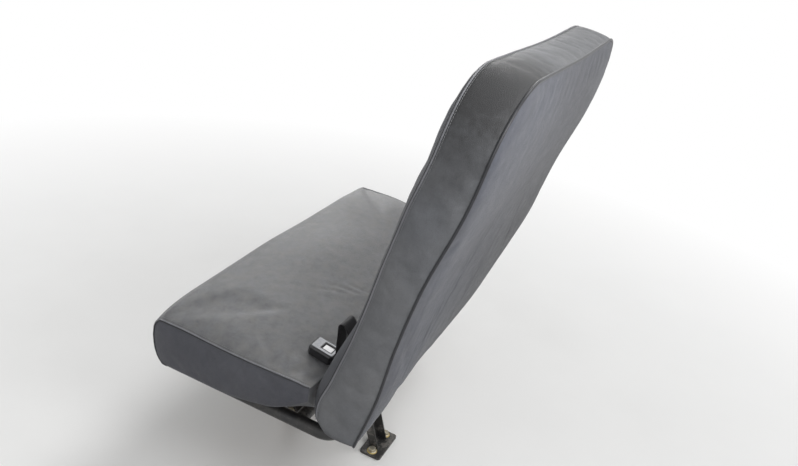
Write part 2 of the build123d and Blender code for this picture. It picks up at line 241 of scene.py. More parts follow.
def unit(vectors):
    return vectors / np.linalg.norm(vectors, axis=-1, keepdims=True)


def run_along(path):
    """Distance along a polyline at each of its points."""
    return np.r_[0, np.cumsum(np.linalg.norm(np.diff(path, axis=0), axis=1))]


def between(at, run, vectors):
    """Values at given places of a run, from vectors that are known along it."""
    return np.stack([np.interp(at, run, column) for column in np.asarray(vectors).T], axis=1)


def evenly(points, count):
    """Resample a polyline at count + 1 places, evenly by length."""
    run = run_along(points)
    return between(np.linspace(0, run[-1], count + 1), run, points)


def arc(centre, radius, start, end, count=40):
    angle = np.radians(np.linspace(start, end, count + 1))
    return np.stack([centre[0] + radius * np.cos(angle), centre[1] + radius * np.sin(angle)], axis=1)


def filled_grid(bottom, top, left, right, rounds=0):
    """Grid of points inside four edges, smoothed so that its cells stay square."""
    u = np.linspace(0, 1, len(bottom))[:, None, None]
    v = np.linspace(0, 1, len(left))[None, :, None]
    grid = (1 - v) * bottom[:, None] + v * top[:, None] + (1 - u) * left[None] + u * right[None]
    grid = grid - (1 - u) * (1 - v) * bottom[0] - u * (1 - v) * bottom[-1]
    grid = grid - (1 - u) * v * top[0] - u * v * top[-1]
    grid[:, 0], grid[:, -1], grid[0], grid[-1] = bottom, top, left, right
    for _ in range(rounds):
        grid[1:-1, 1:-1] = 0.25 * (grid[:-2, 1:-1] + grid[2:, 1:-1] + grid[1:-1, :-2] + grid[1:-1, 2:])
    return grid


def roll(distance, width):
    """0 at a seam, rising in a quarter ellipse to 1 at the given distance."""
    q = np.clip(np.asarray(distance) / width, 0, 1)
    return np.sqrt(1 - (1 - q) ** 2)


def smooth_step(share):
    return share * share * (3 - 2 * share)


def ramp(value, start, end):
    """0 up to the start, 1 from the end on, and smooth between them."""
    return smooth_step(np.clip((value - start) / (end - start), 0, 1))


def bump_at(x, centre, width):
    """Smooth hump, 1 at the centre."""
    return np.exp(-(((x - centre) / width) ** 2))


# Meshes

def new_piece(name, vertices, faces, body, slot, surfaces, smooth=True):
    """A mesh object that rides on a body, with the given surfaces as its materials. Its slot is not used."""
    mesh = bpy.data.meshes.new(name)
    mesh.from_pydata([tuple(v) for v in vertices], [], [tuple(f) for f in faces])
    for surface in surfaces if isinstance(surfaces, (list, tuple)) else [surfaces]:
        mesh.materials.append(surface)
    mesh.polygons.foreach_set("use_smooth", [smooth] * len(mesh.polygons))
    mesh.update()
    piece = bpy.data.objects.new(name, mesh)
    bpy.context.scene.collection.objects.link(piece)
    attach(piece, body)
    return piece


def coordinates(mesh, kind="co"):
    flat = np.empty(len(mesh.vertices) * 3)
    mesh.vertices.foreach_get(kind, flat)
    return flat.reshape(-1, 3)


def set_coordinates(mesh, places):
    mesh.vertices.foreach_set("co", np.asarray(places).ravel())
    mesh.update()


def outward(mesh):
    """Turn every face of a closed mesh outwards."""
    work = bmesh.new()
    work.from_mesh(mesh)
    bmesh.ops.recalc_face_normals(work, faces=work.faces)
    work.to_mesh(mesh)
    work.free()


def shell(name, lattice, body, slot, surfaces, side_surface):
    """Closed mesh over the outside of a lattice of points. Returns it with the index of each lattice point."""
    size = [n - 1 for n in lattice.shape[:3]]
    index, vertices, faces, looks = {}, [], [], []
    for side, (fixed, a, b) in enumerate(((0, 1, 2), (0, 1, 2), (1, 0, 2), (1, 0, 2), (2, 0, 1), (2, 0, 1))):
        for m, n in np.ndindex(size[a], size[b]):
            face = []
            for dm, dn in ((0, 0), (1, 0), (1, 1), (0, 1)):
                place = [0, 0, 0]
                place[fixed], place[a], place[b] = size[fixed] * (side % 2), m + dm, n + dn
                place = tuple(place)
                if place not in index:
                    index[place] = len(vertices)
                    vertices.append(lattice[place])
                face.append(index[place])
            faces.append(face)
            looks.append(side_surface[side])
    piece = new_piece(name, vertices, faces, body, slot, surfaces)
    piece.data.polygons.foreach_set("material_index", looks)
    outward(piece.data)
    return piece, index


def settle(piece, pinned, give, still=None):
    """Fill the cover out under pressure with its seams pinned, and keep the result within a cap."""
    cap, extra = give
    mesh = piece.data
    start = coordinates(mesh)
    group = piece.vertex_groups.new(name="pinned")
    group.add([int(i) for i in pinned], 1.0, "REPLACE")
    cloth = piece.modifiers.new("Cloth", "CLOTH")
    cloth.collision_settings.use_collision = False
    settings = cloth.settings
    settings.quality = 5
    settings.mass = 0.4
    settings.tension_stiffness = STRETCH_STIFFNESS
    settings.compression_stiffness = STRETCH_STIFFNESS
    settings.shear_stiffness = SHEAR_STIFFNESS
    settings.bending_stiffness = BEND_STIFFNESS
    settings.use_pressure = True
    settings.uniform_pressure_force = PRESSURE
    settings.shrink_min = -extra
    settings.vertex_group_mass = "pinned"
    settings.effector_weights.gravity = 0
    scene = bpy.context.scene
    for number in range(1, FRAMES + 1):
        scene.frame_set(number)
    settled = piece.evaluated_get(bpy.context.evaluated_depsgraph_get()).to_mesh()
    moved = coordinates(settled) - start
    piece.modifiers.clear()
    piece.vertex_groups.clear()
    scene.frame_set(1)
    length = np.linalg.norm(moved, axis=1, keepdims=True)
    moved *= cap * np.tanh(length / cap) / np.maximum(length, 1e-9)
    if still is not None:
        moved *= (1 - still(start))[:, None]
    set_coordinates(mesh, start + moved)


def finish_cover(piece, seams, wrinkles):
    """Round a cover off with its seams kept sharp, and press wrinkles(places, normals) into it."""
    wanted = {tuple(sorted(pair)) for line in seams for pair in zip(line, line[1:])}
    old = piece.data
    layer = old.attributes.new("crease_edge", "FLOAT", "EDGE")
    for edge in old.edges:
        if tuple(sorted(edge.vertices)) in wanted:
            layer.data[edge.index].value = 1.0
    rounding = piece.modifiers.new("Smooth", "SUBSURF")
    rounding.levels = rounding.render_levels = 1
    mesh = bpy.data.meshes.new_from_object(piece.evaluated_get(bpy.context.evaluated_depsgraph_get()))
    piece.modifiers.clear()
    piece.data = mesh
    bpy.data.meshes.remove(old)
    place, normal = coordinates(mesh), coordinates(mesh, "normal")
    set_coordinates(mesh, place + normal * wrinkles(place, normal)[:, None])


def ring_faces(rings, size, closed=False):
    """Quads between rings of points. Each end gets a face, unless the last ring joins the first."""
    faces = []
    for i in range(rings if closed else rings - 1):
        j = (i + 1) % rings
        for s in range(size):
            t = (s + 1) % size
            faces.append((i * size + s, i * size + t, j * size + t, j * size + s))
    if not closed:
        faces.append(tuple(range(size))[::-1])
        faces.append(tuple((rings - 1) * size + s for s in range(size)))
    return faces


def tube_mesh(path, radius, sides=10, normals=None, ripple=0.0, pitch=0.003):
    """Vertices and faces of a round bead along a path, rippled like a weld where asked."""
    path = np.asarray(path, dtype=float)
    along = unit(np.gradient(path, axis=0))
    if normals is None:
        guide = np.array((0.0, 0.0, 1.0)) if abs(along[0, 2]) < 0.9 else np.array((1.0, 0.0, 0.0))
        up = []
        for a in along:
            guide = unit(guide - a * guide.dot(a))
            up.append(guide)
        up = np.array(up)
    else:
        up = unit(normals - along * np.sum(normals * along, axis=1, keepdims=True))
    side = np.cross(along, up)
    size = radius * (1 + ripple * np.sin(tau * run_along(path) / pitch))
    angle = np.linspace(0, tau, sides, endpoint=False)
    ring = side[:, None] * np.cos(angle)[None, :, None] + up[:, None] * np.sin(angle)[None, :, None]
    vertices = (path[:, None] + ring * size[:, None, None]).reshape(-1, 3)
    return vertices, ring_faces(len(path), sides)


def joined(parts):
    """One vertex and face list from several."""
    vertices, faces = [], []
    for part_vertices, part_faces in parts:
        base = len(vertices)
        vertices.extend(part_vertices)
        faces.extend([tuple(base + i for i in face) for face in part_faces])
    return vertices, faces


def stitch_mesh(path, normals, spacing=0.0052, length=0.0036, radius=0.00042, sink=0.35):
    """A row of short thread stitches that lie along a path and dive in at their ends."""
    run = run_along(path)
    shape = np.linspace(-0.5, 0.5, 5)
    lift = radius * (1.0 - (2 * shape) ** 2 * (1 + sink))
    parts = []
    for start in np.arange(spacing, run[-1] - spacing, spacing):
        at = start + shape * length
        up = unit(between(at, run, normals))
        parts.append(tube_mesh(between(at, run, path) + up * lift[:, None], radius, sides=6, normals=up))
    return joined(parts)


def turned_mesh(profile, sides=24, turn=0.0):
    """A solid of revolution about Z from (radius, height) points that start and end on the axis."""
    vertices, rings = [], []
    for radius, height in profile:
        if radius == 0:
            rings.append([len(vertices)])
            vertices.append((0, 0, height))
        else:
            rings.append(list(range(len(vertices), len(vertices) + sides)))
            for s in range(sides):
                a = tau * s / sides + turn
                vertices.append((radius * cos(a), radius * sin(a), height))
    faces = []
    for low, high in zip(rings, rings[1:]):
        for s in range(sides):
            t = (s + 1) % sides
            if len(low) == 1:
                faces.append((low[0], high[s], high[t]))
            elif len(high) == 1:
                faces.append((low[s], low[t], high[0]))
            else:
                faces.append((low[s], low[t], high[t], high[s]))
    return vertices, faces


def placed(part, place, axis=(0, 0, 1), turn=0.0):
    """Move a part drawn about Z to a place, with its Z along an axis."""
    rotation = Vector(axis).to_track_quat("Z", "Y").to_matrix().to_4x4()
    matrix = Matrix.Translation(Vector(place)) @ rotation @ Matrix.Rotation(turn, 4, "Z")
    vertices, faces = part
    return [matrix @ Vector(v) for v in vertices], faces


# Materials

# Painted shade, darkening the vinyl's colour round a place: (place, where it is full, where it ends, amount)
# Grime from hands, and painted shade, at the band's top aisle corner
HAND_GRIME_AND_SHADE = ((0.290, 0.290, 1.040), 0.085, 0.215, 0.92)
# Painted shade over the rear panel's lower part, on its wall side
LOW_PANEL_SHADE = ((-0.360, 0.230, 0.380), 0.180, 0.760, 0.62)


def linear(red, green, blue):
    """Shader colour from 0 to 255 screen values."""
    def channel(c):
        c /= 255
        return c / 12.92 if c <= 0.04045 else ((c + 0.055) / 1.055) ** 2.4
    return (channel(red), channel(green), channel(blue), 1.0)


class Nodes:
    """Shorthand for building a node tree."""

    def __init__(self, tree):
        self.tree = tree

    def node(self, kind, **inputs):
        made = self.tree.nodes.new("ShaderNode" + kind)
        for socket, value in inputs.items():
            self.feed(made.inputs[socket.replace("_", " ")], value)
        return made

    def feed(self, socket, value):
        if isinstance(value, bpy.types.NodeSocket):
            self.tree.links.new(value, socket)
        else:
            socket.default_value = value

    def spread(self, value, low, high, to_low=0.0, to_high=1.0):
        made = self.node("MapRange", Value=value)
        for socket, number in zip(("From Min", "From Max", "To Min", "To Max"), (low, high, to_low, to_high)):
            made.inputs[socket].default_value = number
        return made.outputs["Result"]

    def maths(self, kind, operation, *values):
        made = self.node(kind)
        made.operation = operation
        for socket, value in zip(made.inputs, values):
            self.feed(socket, value)
        return made.outputs

    def combine(self, a, b, operation="ADD"):
        return self.maths("Math", operation, a, b)[0]

    def seen_rays(self):
        """1 for rays from the camera and for those that pass through or mirror, 0 for light."""
        rays = self.node("LightPath").outputs
        seen = rays["Is Camera Ray"]
        for kind in ("Is Transmission Ray", "Is Glossy Ray"):
            seen = self.combine(seen, rays[kind], "MAXIMUM")
        return seen


class Surface(Nodes):
    """A node material under construction."""

    def __init__(self, name, **settings):
        self.material = bpy.data.materials.new(name)
        self.material.use_nodes = True
        super().__init__(self.material.node_tree)
        self.shader = self.tree.nodes["Principled BSDF"]
        for socket, value in settings.items():
            self.feed(self.shader.inputs[socket.replace("_", " ")], value)
        self.place = self.node("TexCoord").outputs["Object"]
        self.facing = self.tree.nodes[-1].outputs["Normal"]
        self.normal = None

    def stretched(self, scale):
        return self.node("Mapping", Vector=self.place, Scale=scale).outputs["Vector"]

    def noise(self, scale, detail=3.0, roughness=0.55, at=None):
        at = at or self.place
        made = self.node("TexNoise", Vector=at, Scale=scale, Detail=detail, Roughness=roughness)
        return made.outputs["Fac"]

    def cells(self, scale, at=None):
        made = self.node("TexVoronoi", Vector=at or self.place, Scale=scale)
        made.feature = "DISTANCE_TO_EDGE"
        return made.outputs["Distance"]

    def wave(self, scale, direction, distortion=0.0, at=None):
        made = self.node("TexWave", Vector=at or self.place, Scale=scale, Distortion=distortion)
        made.bands_direction = direction
        return made.outputs["Fac"]

    def upward(self):
        """1 on faces that look up, -1 on those that look down."""
        return self.node("SeparateXYZ", Vector=self.facing).outputs["Z"]

    def mix(self, factor, a, b, blend="MIX"):
        """Mix two colours, each a socket, a shader colour or (red, green, blue) screen values."""
        made = self.node("Mix")
        made.data_type = "RGBA"
        made.blend_type = blend
        self.feed(made.inputs["Factor"], factor)
        for number, value in ((6, a), (7, b)):
            screen = isinstance(value, tuple) and len(value) == 3
            self.feed(made.inputs[number], linear(*value) if screen else value)
        return made.outputs[2]

    def relief(self, height, depth, strength=1.0):
        """Add a bump of the given depth in metres."""
        made = self.node("Bump", Height=height, Strength=strength, Distance=depth)
        if self.normal is not None:
            self.feed(made.inputs["Normal"], self.normal)
        self.normal = made.outputs["Normal"]
        self.feed(self.shader.inputs["Normal"], self.normal)

    def colour(self, value):
        self.feed(self.shader.inputs["Base Color"], value)

    def rough(self, value):
        self.feed(self.shader.inputs["Roughness"], value)


def vinyl(name, base, worn, dust=0.25, rough=(0.40, 0.56), painted_shade=None, mottling=(0.87, 1.10)):
    """Grained seat vinyl: leather cells with painted shade in their creases, fine pores, faint handling marks,
    dust where it faces up, and painted shade round a given place.
    """
    s = Surface(name, Specular_IOR_Level=0.34)
    warp = s.noise(90.0, 2.0)
    warp = s.node("CombineXYZ", X=warp, Y=warp, Z=warp).outputs[0]
    shifted = s.maths("VectorMath", "MULTIPLY_ADD", warp, (0.004, 0.003, 0.0035), s.place)["Vector"]
    coarse = s.cells(430.0, at=shifted)
    fine = s.cells(1150.0, at=shifted)
    pores = s.noise(2600.0, 2.0)
    patches = s.noise(5.5, 4.0)
    scuffs = s.noise(38.0, 5.0, 0.62)
    tone = s.mix(s.spread(patches, 0.32, 0.70), base, worn)
    # Painted shade: the colour darkened along the edges of the grain's cells, where its creases lie.
    crease_shade = s.spread(coarse, 0.0, 0.14, 0.80, 1.0)
    tone = s.mix(0.55, tone, crease_shade, "MULTIPLY")
    mottle = s.noise(46.0, 7.0, 0.72)
    tone = s.mix(1.0, tone, s.spread(mottle, 0.30, 0.70, *mottling), "MULTIPLY")
    dusty = s.combine(s.spread(s.upward(), 0.35, 1.0, 0.0, dust), s.spread(scuffs, 0.40, 0.72), "MULTIPLY")
    tone = s.mix(dusty, tone, (142, 139, 132))
    # Painted shade: the colour darkened round a given place, with a ragged edge.
    if painted_shade:
        centre, full, end, amount = painted_shade
        reach = s.maths("VectorMath", "DISTANCE", s.place, centre)["Value"]
        ragged = s.combine(reach, s.spread(scuffs, 0.3, 0.7, -0.03, 0.03))
        tone = s.mix(s.spread(ragged, full, end, amount, 0.0), tone, (42, 42, 43))
    s.colour(tone)
    s.rough(s.spread(s.combine(scuffs, s.spread(patches, 0.3, 0.7, -0.15, 0.15)), 0.25, 0.80, *rough))
    s.relief(s.spread(coarse, 0.0, 0.22), 0.00030, 0.75)
    s.relief(s.spread(fine, 0.0, 0.30), 0.00012, 0.55)
    s.relief(pores, 0.00004, 0.5)
    s.relief(s.noise(24.0, 3.0), 0.0016, 0.35)
    return s.material


def piping_and_painted_shadow(name):
    s = Surface(name, Roughness=0.38, Specular_IOR_Level=0.5)
    marks = s.noise(60.0, 4.0)
    # Near-black: the piping's own dark colour with its shadow painted in; it also makes the painted shadow lines
    # in the seams' grooves.
    s.colour(s.mix(s.spread(marks, 0.35, 0.75), (28, 29, 33), (46, 47, 52)))
    s.relief(s.cells(900.0), 0.00015, 0.5)
    return s.material


def thread(name, base, light):
    s = Surface(name, Roughness=0.62)
    s.colour(s.mix(s.wave(700.0, "DIAGONAL"), base, light))
    s.relief(s.wave(900.0, "DIAGONAL"), 0.0001, 0.6)
    return s.material


def black_steel(name, base=(24, 25, 27), chips=0.5):
    """Black painted steel: faint orange peel, dust, and chips to bare metal on its edges."""
    s = Surface(name, Specular_IOR_Level=0.5)
    wear = s.noise(45.0, 6.0, 0.65)
    dust = s.noise(9.0, 4.0)
    edge = s.node("NewGeometry").outputs["Pointiness"]
    exposed = s.combine(s.spread(edge, 0.53, 0.60), s.spread(wear, 0.50, 0.62), "MULTIPLY")
    specks = s.spread(s.noise(420.0, 3.0), 0.70, 0.76)
    bare = s.combine(s.combine(exposed, chips, "MULTIPLY"), s.combine(specks, 0.25, "MULTIPLY"), "MAXIMUM")
    painted = s.mix(s.spread(dust, 0.38, 0.78, 0.0, 0.45), base, (78, 75, 70))
    s.colour(s.mix(bare, painted, (128, 124, 118)))
    s.rough(s.spread(s.combine(wear, dust), 0.6, 1.4, 0.30, 0.62))
    s.relief(s.noise(600.0, 2.0), 0.00008, 0.5)
    s.relief(s.noise(120.0, 3.0), 0.0003, 0.2)
    return s.material


def zinc(name, base=(176, 172, 160), yellow=(186, 168, 120), amount=0.5):
    s = Surface(name, Metallic=0.9)
    cloud = s.noise(70.0, 4.0)
    s.colour(s.mix(s.spread(cloud, 0.35, 0.7, 0.0, amount), base, yellow))
    s.rough(s.spread(s.noise(260.0, 4.0), 0.3, 0.75, 0.28, 0.55))
    s.relief(s.wave(500.0, "X", 3.0), 0.00004, 0.4)
    s.relief(s.noise(900.0, 2.0), 0.00005, 0.4)
    return s.material


def plywood(name):
    """Rotary-cut face with long grain along X, and thin plies on its edges."""
    s = Surface(name, Roughness=0.68, Specular_IOR_Level=0.3)
    grain = s.noise(26.0, 6.0, 0.6, s.stretched((0.12, 1.0, 1.0)))
    rings = s.wave(4.2, "Y", 9.0, s.stretched((0.10, 1.0, 1.0)))
    face = s.mix(s.spread(grain, 0.25, 0.75), (196, 160, 112), (150, 112, 70))
    face = s.mix(s.spread(rings, 0.2, 0.9, 0.0, 0.4), face, (128, 92, 56))
    plies = s.wave(52.0, "Z", 0.4)
    edge = s.mix(s.spread(plies, 0.35, 0.65), (166, 130, 88), (104, 74, 46))
    level = s.maths("Math", "ABSOLUTE", s.upward())["Value"]
    s.colour(s.mix(s.spread(level, 0.4, 0.6), edge, face))
    s.relief(s.noise(150.0, 5.0, 0.6, s.stretched((0.08, 1.0, 1.0))), 0.0004, 0.5)
    return s.material


def webbing_weave(name):
    """Close twill strap: ribs across its width, yarns along it."""
    s = Surface(name, Roughness=0.7, Sheen_Weight=0.10, Sheen_Roughness=0.4)
    ribs = s.wave(260.0, "DIAGONAL", 0.6)
    yarns = s.wave(210.0, "X")
    weave = s.combine(ribs, yarns, "MULTIPLY")
    fade = s.noise(30.0, 4.0)
    tone = s.mix(s.spread(weave, 0.1, 0.9), (9, 8, 11), (26, 24, 30))
    s.colour(s.mix(s.spread(fade, 0.4, 0.8, 0.0, 0.3), tone, (38, 35, 41)))
    s.relief(weave, 0.0005, 0.8)
    return s.material


def moulded(name, base, light, rough=(0.35, 0.5)):
    s = Surface(name)
    marks = s.noise(120.0, 4.0)
    s.colour(s.mix(s.spread(marks, 0.4, 0.75), base, light))
    s.rough(s.spread(marks, 0.3, 0.7, *rough))
    s.relief(s.noise(1800.0, 2.0), 0.00006, 0.6)
    return s.material


def brushed(name, base, worn):
    s = Surface(name, Metallic=1.0)
    lines = s.noise(1400.0, 3.0, 0.6, s.stretched((1.0, 0.04, 1.0)))
    scratches = s.noise(90.0, 5.0, 0.7)
    s.colour(s.mix(s.spread(scratches, 0.35, 0.75), base, worn))
    s.rough(s.spread(lines, 0.3, 0.7, 0.26, 0.42))
    s.relief(lines, 0.00003, 0.5)
    return s.material


GREY_TOP = vinyl("cushion_top_vinyl", (92, 93, 96), (112, 113, 115), dust=0.30, mottling=(0.78, 1.18))
# The end panels' vinyl, darker than the top's: painted shade.
GREY_END_SHADED = vinyl("cushion_end_vinyl_shaded", (70, 71, 78), (86, 87, 93), dust=0.10)
GREY_PANEL = vinyl("back_panel_vinyl", (89, 92, 102), (106, 107, 113), dust=0.10, painted_shade=LOW_PANEL_SHADE)
GREY_BAND = vinyl("back_band_vinyl", (104, 106, 110), (120, 121, 123), dust=0.05, painted_shade=HAND_GRIME_AND_SHADE)
# The hem's vinyl, lighter than the panels: partly wear along the seam, partly a painted highlight on its ridge.
HEM_WEAR_AND_HIGHLIGHT = vinyl("hem_vinyl_wear_and_highlight", (124, 125, 130), (146, 147, 151), dust=0.2)
# The front panel's vinyl, darker than the band's: painted shade.
GREY_FRONT_SHADED = vinyl("back_front_vinyl_shaded", (80, 82, 87), (94, 95, 99), dust=0.1, rough=(0.54, 0.68))
DARK_PIPING_AND_SHADOW = piping_and_painted_shadow("piping_and_painted_shadow")
THREAD = thread("grey_thread", (112, 113, 116), (148, 149, 150))
BLACK_STEEL = black_steel("black_painted_steel")
ZINC = zinc("zinc_plated_steel")
YELLOW_ZINC = zinc("yellow_zinc_steel", (190, 172, 120), (206, 184, 112), 0.8)
PLYWOOD = plywood("plywood")
WEBBING = webbing_weave("black_webbing")
BLACK_PLASTIC = moulded("black_plastic", (22, 22, 24), (44, 44, 47))
BRIGHT_BUTTON = brushed("bright_button", (214, 214, 214), (180, 180, 182))
SATIN_COVER = brushed("satin_cover", (160, 161, 164), (132, 133, 136))


# Back

def back_height_line(seam, height):
    """Points of a seam's curve that lie at given heights of the slanted outline, as (Y, Z)."""
    z = BACK_TOP[1] + height * cos(BACK_SLANT)
    for _ in range(8):
        y = smooth_curve(seam, z)
        reach = (BACK_TOP[0] + height * sin(BACK_SLANT) - y) / cos(BACK_SLANT)
        z = BACK_TOP[1] + height * cos(BACK_SLANT) + reach * sin(BACK_SLANT)
    return y, z


def back_outline(inset, drop, low):
    """Four edges of a panel of the back as (X, height) points: bottom, top, wall side, aisle side."""
    left = BACK_LOW.x + inset
    right = BACK_HIGH.x - inset
    wall_r = BACK_WALL_R - inset
    aisle_r = BACK_AISLE_R - inset
    wall_centre = (left + wall_r, -drop - wall_r)
    aisle_centre = (right - aisle_r, -drop - aisle_r)
    wall_side = np.vstack([[(left, low)], arc(wall_centre, wall_r, 180, 135)])
    aisle_side = np.vstack([[(right, low)], arc(aisle_centre, aisle_r, 0, 45)])
    top = np.vstack([arc(wall_centre, wall_r, 135, 90), arc(aisle_centre, aisle_r, 90, 45)])
    bottom = np.array([(left, low), (right, low)])
    return bottom, top, wall_side, aisle_side


def height_of(seam_point):
    """Height along the slant of a (Y, Z) point."""
    y, z = seam_point
    return (y - BACK_TOP[0]) * sin(BACK_SLANT) + (z - BACK_TOP[1]) * cos(BACK_SLANT)


def edge_distance(grid, bottom=True):
    """Distance of each grid point to the grid's outer edge, with or without its bottom."""
    rim = np.vstack([grid[:, -1], grid[0], grid[-1]] + [grid[:, 0]] * bottom)
    flat = grid.reshape(-1, 2)
    nearest = np.full(len(flat), 9.0)
    for start in range(0, len(flat), 500):
        part = flat[start:start + 500]
        nearest[start:start + 500] = np.sqrt(((part[:, None] - rim[None]) ** 2).sum(axis=2)).min(axis=1)
    return nearest.reshape(grid.shape[:2])


def back_panel(seam, drop, facing, puff):
    """Points of the front (facing -1) or rear (facing 1) panel, and its outline's grid."""
    u, v, _ = BACK_CELLS
    low = height_of(seam[0])
    bottom, top, wall_side, aisle_side = back_outline(SEAM_INSET, drop, low)
    grid = filled_grid(evenly(bottom, u), evenly(top, u), evenly(wall_side, v), evenly(aisle_side, v), 1500)
    x, height = grid[..., 0], grid[..., 1]
    y, z = back_height_line(seam, height)
    slope = (smooth_curve(seam, z + 0.001) - smooth_curve(seam, z - 0.001)) / 0.002
    normal = unit(np.stack([0 * slope, facing + 0 * slope, -facing * slope], axis=-1))
    away = edge_distance(grid)
    share = away / PUFF_EDGE
    if facing > 0:
        share = np.minimum(share, np.minimum(x - BACK_LOW.x, height - low) / REAR_FIRM)
    full = puff[0] * roll(share, 1.0) + puff[1] * roll(away, PUFF_MIDDLE)
    if facing < 0:
        full -= front_give(grid, z)
    points = np.stack([x, y, z], axis=-1) + normal * full[..., None]
    if facing > 0:
        points[..., 1] -= smooth_curve(DRAWN_IN, x) * ramp(points[..., 2], *DRAWN_HEIGHTS)
    depth, middle, half = TOP_SAG
    points[..., 2] -= depth * bump_at(x, middle, half) * ramp(height, -half, 0)
    return points, grid


def front_give(grid, z):
    """How far the front lies back: near its side seams, and low down where the cushion rests on it."""
    side = edge_distance(grid, bottom=False)
    depth, middle, half = LOW_TUCK
    tuck = FRONT_TUCK * ramp(grid[..., 1], *TUCK_HEIGHTS) + depth * bump_at(z, middle, half)
    hollow = LOW_HOLLOW * ramp(z, *HOLLOW_HEIGHTS) * ramp(side, *HOLLOW_SIDES)
    return tuck * (1 - roll(side, TUCK_ROLL)) + hollow


def outline_normals(grid):
    """Outward directions of the outline at the wall side, top and aisle side, in 3-D."""
    ring = np.vstack([grid[0, :], grid[1:, -1], grid[-1, -2::-1]])
    along = unit(np.gradient(ring, axis=0))
    flat = np.stack([-along[:, 1], along[:, 0]], axis=1)
    up = np.array((0, sin(BACK_SLANT), cos(BACK_SLANT)))
    return flat[:, :1] * np.array((1.0, 0, 0)) + flat[:, 1:] * up


def make_back():
    """The back's cover: both panels and the band between them, filled out."""
    u, v, w = BACK_CELLS
    front, front_grid = back_panel(FRONT_SEAM, FRONT_DROP, -1, FRONT_PUFF)
    rear, rear_grid = back_panel(REAR_SEAM, REAR_DROP, 1, REAR_PUFF)
    lattice = np.zeros((u + 1, v + 1, w + 1, 3))
    lattice[:, :, 0] = front
    lattice[:, :, w] = rear
    ring_places = [(0, j) for j in range(v + 1)] + [(i, v) for i in range(1, u + 1)]
    ring_places += [(u, j) for j in range(v - 1, -1, -1)]
    normals = outline_normals(0.5 * (front_grid + rear_grid))
    share = np.linspace(0, 1, w + 1)
    for (i, j), normal in zip(ring_places, normals):
        a, b = front[i, j], rear[i, j]
        bulge = BAND_SIDE_BULGE + (BAND_TOP_BULGE - BAND_SIDE_BULGE) * max(normal[2], 0.0)
        bulge = bulge * (1 - (2 * share - 1) ** 2) ** BAND_FULLNESS
        lattice[i, j] = a + (b - a) * share[:, None] + normal * bulge[:, None]
    chin = np.interp(share, (0, CHIN[0], 1), (0, -CHIN[1], 0)) * np.sin(pi * share) ** 0.5
    for i in range(u + 1):
        a, b = lattice[i, 0, 0], lattice[i, 0, w]
        line = a + (b - a) * share[:, None]
        line[:, 2] += chin
        if 0 < i < u:
            lattice[i, 0, 1:w] = line[1:w]
        else:
            lattice[i, 0, 1:w, 2] = line[1:w, 2]
    surfaces = [GREY_PANEL, GREY_BAND, GREY_FRONT_SHADED]
    side_surface = (1, 1, 1, 1, 2, 0)
    piece, index = shell("back_cover", lattice, "frame", "back_vinyl", surfaces, side_surface)
    rims = {name: [index[i, j, k] for i, j in ring_places] for name, k in (("front", 0), ("rear", w))}
    corners = [[index[i, 0, k] for k in range(w + 1)] for i in (0, u)]
    lower = [[index[i, 0, k] for i in range(u + 1)] for k in (0, w)]
    seams = list(rims.values()) + corners + lower
    pinned = {n for line in seams for n in line} | {index[i, 0, k] for i in range(u + 1) for k in range(w + 1)}
    settle(piece, pinned, BACK_GIVE)
    places = coordinates(piece.data)
    paths = {name: places[line] for name, line in rims.items()}
    beside = places[[index[i, j, 1] for i, j in ring_places]]
    finish_cover(piece, seams, back_wrinkles)
    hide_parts("back_cushion")
    return piece, paths, beside, normals


def folds(x, y, table, bend, section):
    """Depth of a table's folds. Their section is (half width, distance of the ridge beside, its half width)."""
    half, beside, ridge = section
    total = 0
    for x0, y0, tilt, length, depth in table:
        across = (x - x0) * cos(tilt) + (y - y0) * sin(tilt)
        along = -(x - x0) * sin(tilt) + (y - y0) * cos(tilt)
        across = across + bend * along * np.sin(along * 55 + x0 * 90 + y0 * 200)
        fold = bump_at(across, 0, half) - 0.6 * bump_at(across, beside, ridge)
        total = total + depth * fold * bump_at(along, 0, length)
    return total


def back_wrinkles(place, normal):
    """Tension streaks, a few long folds and slight lumps in the foam."""
    x, _, z = place.T
    rear = np.clip(normal[:, 1] * 1.5 - 0.3, 0, 1)
    front = np.clip(-normal[:, 1] * 1.5 - 0.3, 0, 1)
    inner = roll(np.minimum(x - BACK_LOW.x, BACK_HIGH.x - x), 0.08)
    low = bump_at(z, 0.50, 0.22)
    streak = np.sin(x * 310 + 5 * np.sin(z * 9 + x * 7)) * np.sin(x * 47 + 1.3)
    height = rear * inner * low * 0.00045 * streak
    height -= 1.6 * rear * folds(x, z, BACK_FOLDS, 0.0, (0.010, 0.017, 0.012))
    height += (rear + front) * 0.0012 * np.sin(x * 13 + 2) * np.sin(z * 11 + 0.7) * inner
    return height


def surface_tree(piece):
    """Lookup for the nearest place on a finished cover."""
    mesh = piece.data
    return BVHTree.FromPolygons([v.co for v in mesh.vertices], [tuple(p.vertices) for p in mesh.polygons])


def laid_on(tree, path, sides, profile):
    """A strip that follows a surface beside a path. The profile is (across, up) points."""
    places = np.stack([row_on(tree, path, sides, across, up)[0] for across, up in profile], axis=1)
    return places.reshape(-1, 3), ring_faces(len(path), len(profile))


def row_on(tree, path, sides, across, up=0.0):
    """Places and normals of a smooth line that follows a surface at one distance beside a path."""
    found = [tree.find_nearest(Vector(place + side * across))[:2] for place, side in zip(path, sides)]
    spots, normals = (np.array([list(pair[k]) for pair in found]) for k in (0, 1))
    for _ in range(4):
        for line in (spots, normals):
            line[1:-1] = 0.25 * line[:-2] + 0.5 * line[1:-1] + 0.25 * line[2:]
    normals = unit(normals)
    return spots + normals * up, normals


